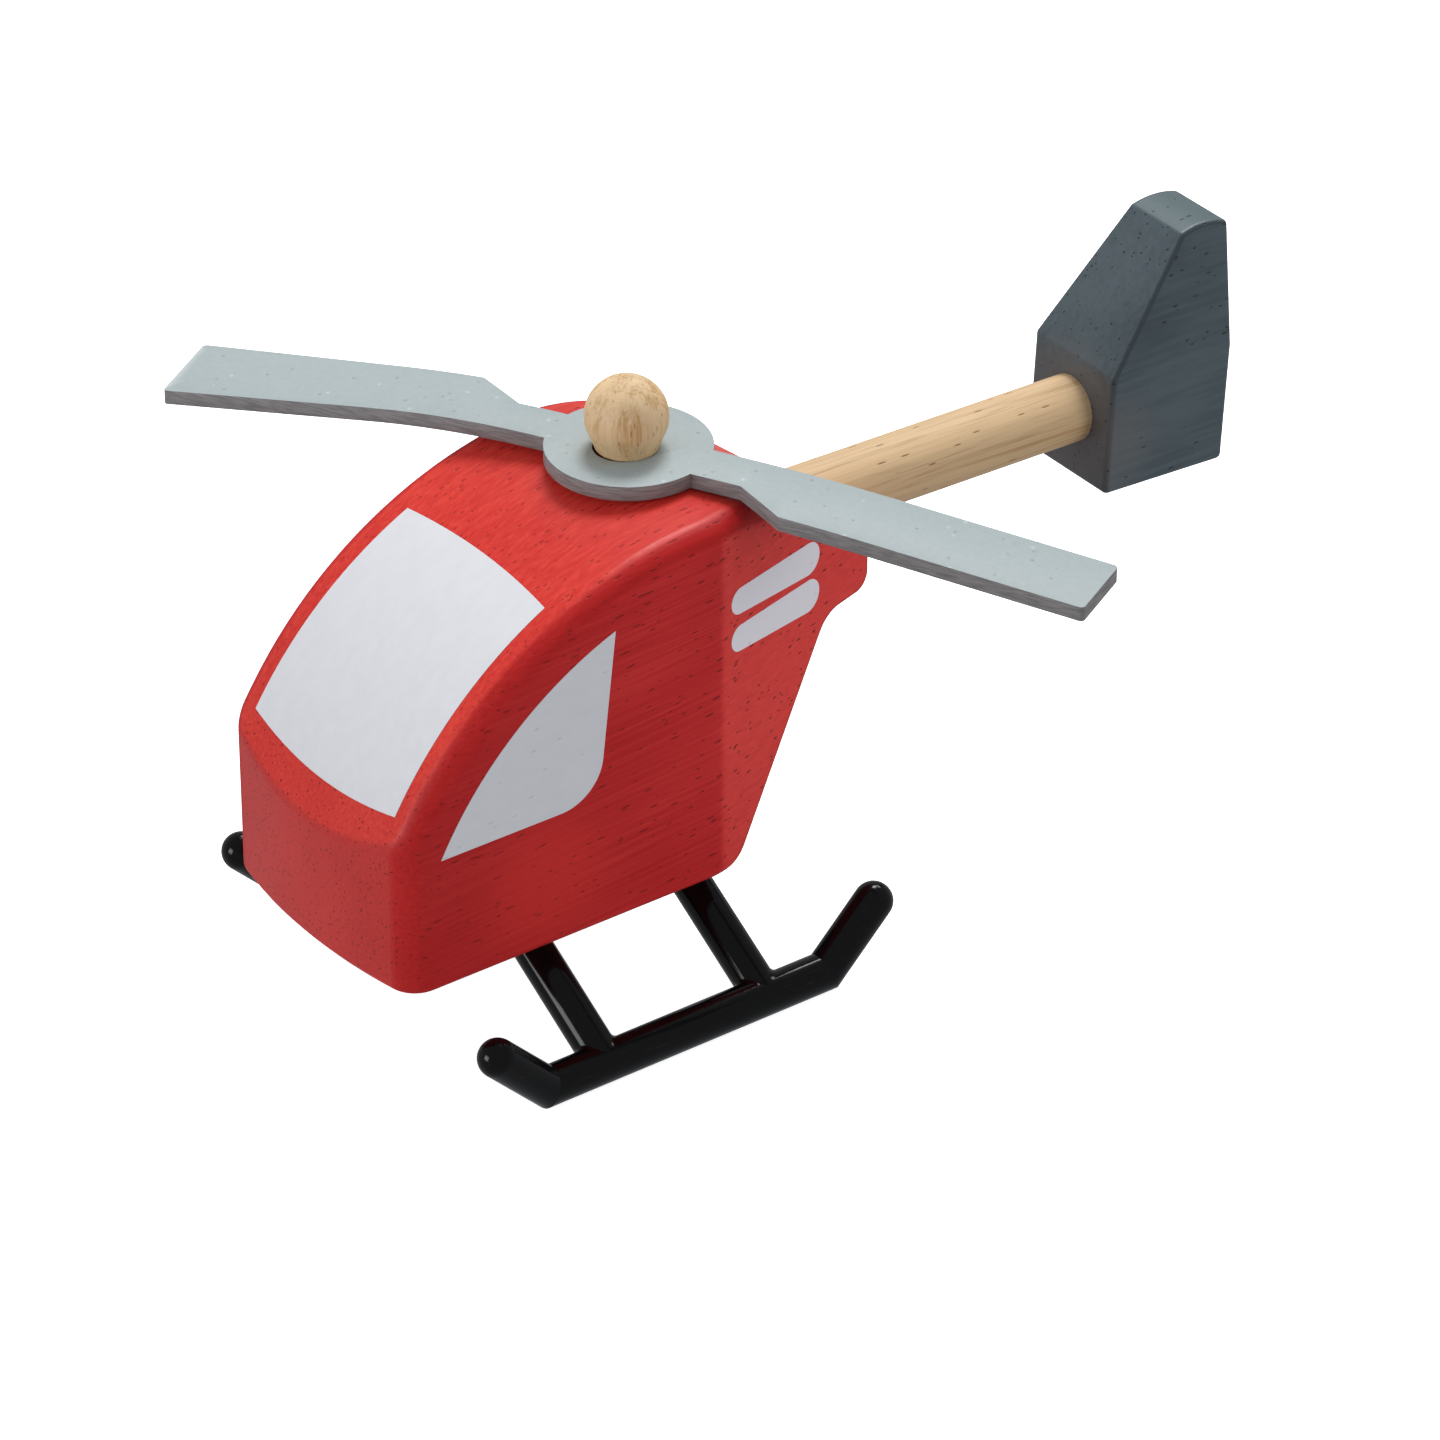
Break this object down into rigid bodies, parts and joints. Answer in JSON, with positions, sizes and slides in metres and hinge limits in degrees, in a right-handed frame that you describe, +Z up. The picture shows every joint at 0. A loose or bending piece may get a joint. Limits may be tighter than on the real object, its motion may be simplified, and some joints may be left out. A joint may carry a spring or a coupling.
{
  "type": "toy helicopter",
  "caption": "Wooden toy helicopter: a curved solid cabin on two skids, a dowel tail boom with a fin, and a flat rotor that turns on a ball-headed peg.",
  "frame": {"origin": "on the floor between the skids, on the plane of symmetry, half way along the toy", "axes": "-Y towards the nose, +Y towards the tail, +X towards the toy's left side, +Z up along the rotor axis"},
  "size_m": [0.1594, 0.1864, 0.1041],
  "materials": {
    "red_stained_wood": "translucent red stain, satin, grain and pores showing",
    "bare_wood": "bare pale hardwood, sanded, matt",
    "slate_painted_wood": "slate blue-grey paint, satin, pores showing",
    "grey_sheet": "smooth matt sheet, cut edges",
    "black_gloss": "gloss black",
    "pale_grey_print": "flat printed film, satin"
  },
  "bodies": {
    "airframe": {"cabin": "red_stained_wood", "tail_boom": "bare_wood", "tail_fin": "slate_painted_wood", "rotor_peg": "bare_wood", "left_skid": "black_gloss", "right_skid": "black_gloss", "front_cross_tube": "black_gloss", "rear_cross_tube": "black_gloss", "windscreen_print": "pale_grey_print", "left_window_print": "pale_grey_print", "left_upper_vent_print": "pale_grey_print", "left_lower_vent_print": "pale_grey_print", "right_window_print": "pale_grey_print", "right_upper_vent_print": "pale_grey_print", "right_lower_vent_print": "pale_grey_print"},
    "rotor": {"rotor": "grey_sheet"}
  },
  "joints": [
    {"name": "rotor_spin", "type": "hinge", "parent": "airframe", "child": "rotor", "pos_m": [0, -0.0286, 0.0901], "axis": [0, 0, 1], "continuous": true}
  ]
}
